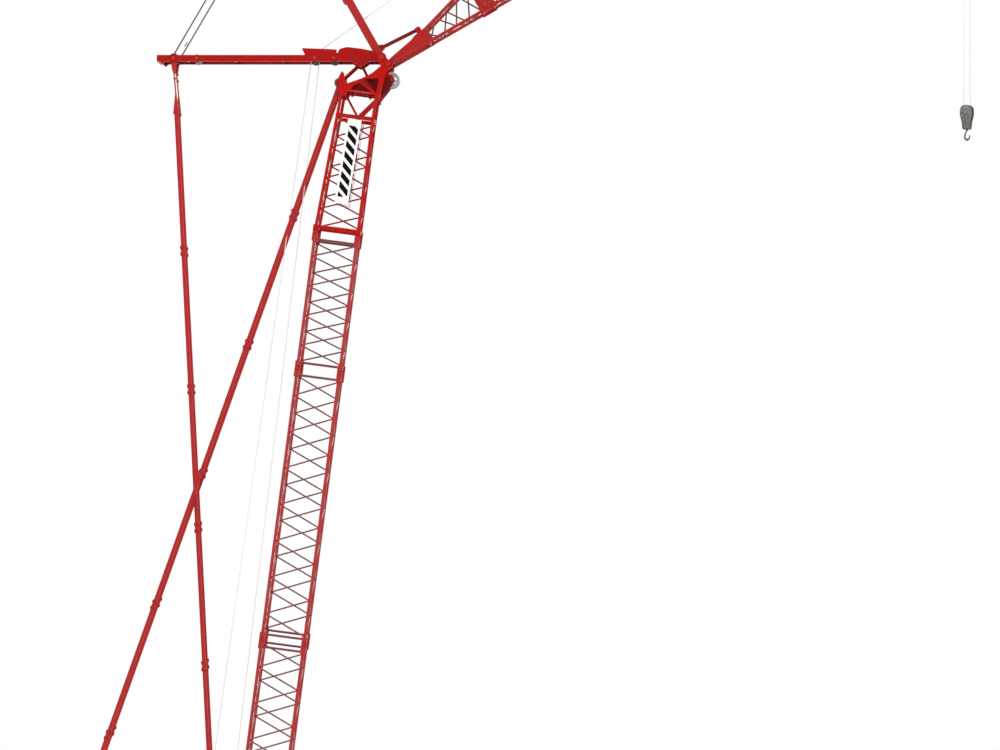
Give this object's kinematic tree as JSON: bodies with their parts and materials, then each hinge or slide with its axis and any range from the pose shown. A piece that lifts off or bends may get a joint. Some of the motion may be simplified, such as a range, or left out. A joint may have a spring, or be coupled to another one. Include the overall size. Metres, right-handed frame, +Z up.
{
  "type": "toy tower crane",
  "caption": "Display-model crawler crane with a lattice boom, a luffing jib on two masts, stays, winches, slewing deck and a hook block on rope falls.",
  "frame": {"origin": "on the ground under the middle of the slewing ring", "axes": "+X forward, the way the boom leans and the jib points; +Y to the crane's left; +Z up"},
  "size_m": [0.8188, 0.16, 1.3031],
  "materials": {
    "red_paint": "gloss",
    "dark_red_paint": "satin",
    "grey_paint": "satin",
    "steel": "satin",
    "track_black": "matt",
    "glass": "clear",
    "white_board": "satin",
    "rope_light": "matt",
    "rope_dark": "matt",
    "red_steel": "satin",
    "weight_red": "satin"
  },
  "bodies": {
    "undercarriage": {"car_body": "red_paint", "slew_ring": "steel", "track_frame_left": "red_paint", "track_frame_right": "red_paint", "track_left": "track_black", "track_right": "track_black", "track_rollers": "grey_paint", "car_ballast": "weight_red"},
    "sprocket_left": {"drive_sprocket_left": "grey_paint"},
    "sprocket_right": {"drive_sprocket_right": "grey_paint"},
    "idler_wheel_left": {"idler_left": "grey_paint"},
    "idler_wheel_right": {"idler_right": "grey_paint"},
    "superstructure": {"turntable_deck": "red_paint", "engine_house": "red_paint", "cab_shell": "red_paint", "cab_windows": "glass", "counterweight_tray": "dark_red_paint", "counterweight_slabs": "weight_red", "winch_frames": "red_paint", "deck_pins": "steel", "deck_sheaves": "grey_paint", "a_frame_reeving": "rope_light", "hoist_ropes_boom": "rope_light"},
    "drum_front": {"hoist_drum_front": "steel"},
    "drum_rear": {"hoist_drum_rear": "steel"},
    "drum_luffing": {"luffing_drum": "steel"},
    "gantry": {"a_frame": "red_paint", "a_frame_sheaves": "grey_paint"},
    "boom_suspension": {"boom_stays": "red_paint"},
    "boom": {"boom_foot": "red_paint", "boom_section_lower": "red_paint", "boom_section_middle": "red_paint", "boom_section_upper": "red_paint", "boom_head": "red_paint", "boom_pins": "red_steel", "sign_plate": "white_board", "head_shafts": "red_steel", "rear_mast": "red_paint", "rear_mast_sheaves": "grey_paint", "rear_mast_links": "red_paint", "rear_stays": "red_paint", "luffing_ropes": "rope_dark"},
    "head_sheaves_front": {"head_sheave_front": "steel"},
    "head_sheaves_rear": {"head_sheave_rear": "grey_paint"},
    "jib": {"jib_foot": "red_paint", "jib_section_long": "red_paint", "jib_section_short": "red_paint", "jib_head": "red_paint", "jib_pins": "red_steel", "hoist_rope_jib": "rope_light"},
    "front_mast_frame": {"front_mast": "red_paint", "front_mast_sheaves": "grey_paint", "stop_strut": "dark_red_paint"},
    "jib_suspension": {"jib_stays": "red_paint"},
    "jib_sheave": {"jib_head_sheave": "steel"},
    "falls": {"hook_falls": "rope_light", "rope_becket": "steel"},
    "block": {"hook_block": "grey_paint"},
    "block_sheave": {"hook_sheave": "steel"},
    "hook_body": {"hook": "grey_paint"}
  },
  "joints": [
    {"name": "slew", "type": "hinge", "parent": "undercarriage", "child": "superstructure", "pos_m": [0, 0, 0.024], "axis": [0, 0, 1], "continuous": true},
    {"name": "sprocket_left_spin", "type": "hinge", "parent": "undercarriage", "child": "sprocket_left", "pos_m": [-0.079, 0.068, 0.012], "axis": [0, 1, 0], "continuous": true},
    {"name": "sprocket_right_spin", "type": "hinge", "parent": "undercarriage", "child": "sprocket_right", "pos_m": [-0.079, -0.068, 0.012], "axis": [0, 1, 0], "continuous": true},
    {"name": "idler_left_spin", "type": "hinge", "parent": "undercarriage", "child": "idler_wheel_left", "pos_m": [0.079, 0.068, 0.012], "axis": [0, 1, 0], "continuous": true},
    {"name": "idler_right_spin", "type": "hinge", "parent": "undercarriage", "child": "idler_wheel_right", "pos_m": [0.079, -0.068, 0.012], "axis": [0, 1, 0], "continuous": true},
    {"name": "hoist_front_spin", "type": "hinge", "parent": "superstructure", "child": "drum_front", "pos_m": [-0.0049, 0, 0.057], "axis": [0, 1, 0], "continuous": true},
    {"name": "hoist_rear_spin", "type": "hinge", "parent": "superstructure", "child": "drum_rear", "pos_m": [-0.0324, 0, 0.057], "axis": [0, 1, 0], "continuous": true},
    {"name": "luffing_spin", "type": "hinge", "parent": "superstructure", "child": "drum_luffing", "pos_m": [-0.062, 0, 0.052], "axis": [0, 1, 0], "continuous": true},
    {"name": "boom_luff", "type": "hinge", "parent": "superstructure", "child": "boom", "pos_m": [0.0252, 0, 0.0442], "axis": [0, 1, 0], "range_deg": [-5, 17.5], "deforming": ["hoist_ropes_boom"]},
    {"name": "gantry_follow", "type": "hinge", "parent": "superstructure", "child": "gantry", "pos_m": [-0.0009, 0, 0.057], "axis": [0, 1, 0], "range_deg": [-6.5, 21.5], "deforming": ["a_frame_reeving"]},
    {"name": "boom_stay_follow", "type": "hinge", "parent": "gantry", "child": "boom_suspension", "pos_m": [-0.11216, 0, 0.28511], "axis": [0, 1, 0], "range_deg": [-4.5, 2]},
    {"name": "head_sheave_front_spin", "type": "hinge", "parent": "boom", "child": "head_sheaves_front", "pos_m": [0.17749, 0, 0.9752], "axis": [0, 1, 0], "continuous": true},
    {"name": "head_sheave_rear_spin", "type": "hinge", "parent": "boom", "child": "head_sheaves_rear", "pos_m": [0.13069, 0, 0.97287], "axis": [0, 1, 0], "continuous": true},
    {"name": "jib_luff", "type": "hinge", "parent": "boom", "child": "jib", "pos_m": [0.17487, 0, 0.98744], "axis": [0, 1, 0], "range_deg": [-20, 30], "deforming": ["hoist_rope_jib"]},
    {"name": "front_mast_follow", "type": "hinge", "parent": "boom", "child": "front_mast_frame", "pos_m": [0.16922, 0, 0.99363], "axis": [0, 1, 0], "range_deg": [-22, 33], "deforming": ["luffing_ropes"]},
    {"name": "jib_stay_follow", "type": "hinge", "parent": "front_mast_frame", "child": "jib_suspension", "pos_m": [0.07939, 0, 1.15306], "axis": [0, 1, 0], "range_deg": [-2.5, 2]},
    {"name": "jib_sheave_spin", "type": "hinge", "parent": "jib", "child": "jib_sheave", "pos_m": [0.6807, 0, 1.27831], "axis": [0, 1, 0], "continuous": true},
    {"name": "falls_swing", "type": "hinge", "parent": "jib", "child": "falls", "pos_m": [0.6807, 0, 1.27831], "axis": [0, 1, 0], "range_deg": [-75, 50]},
    {"name": "hook_lift", "type": "slide", "parent": "falls", "child": "block", "axis": [0, 0, 1], "range_m": [-0.35, 0.28], "deforming": ["hook_falls"]},
    {"name": "block_sheave_spin", "type": "hinge", "parent": "block", "child": "block_sheave", "pos_m": [0.6852, 0, 0.94561], "axis": [0.5, 0.866, 0], "continuous": true},
    {"name": "hook_turn", "type": "hinge", "parent": "block", "child": "hook_body", "pos_m": [0.6852, 0, 0.93181], "axis": [0, 0, 1], "continuous": true}
  ],
  "couplings": [
    {"joint": "idler_left_spin", "follows": "sprocket_left_spin", "ratio": 1},
    {"joint": "idler_right_spin", "follows": "sprocket_right_spin", "ratio": 1},
    {"joint": "gantry_follow", "follows": "boom_luff", "ratio": 1.1636},
    {"joint": "boom_stay_follow", "follows": "boom_luff", "ratio": -0.2042},
    {"joint": "front_mast_follow", "follows": "jib_luff", "ratio": 1.0411},
    {"joint": "jib_stay_follow", "follows": "jib_luff", "ratio": -0.0461}
  ]
}
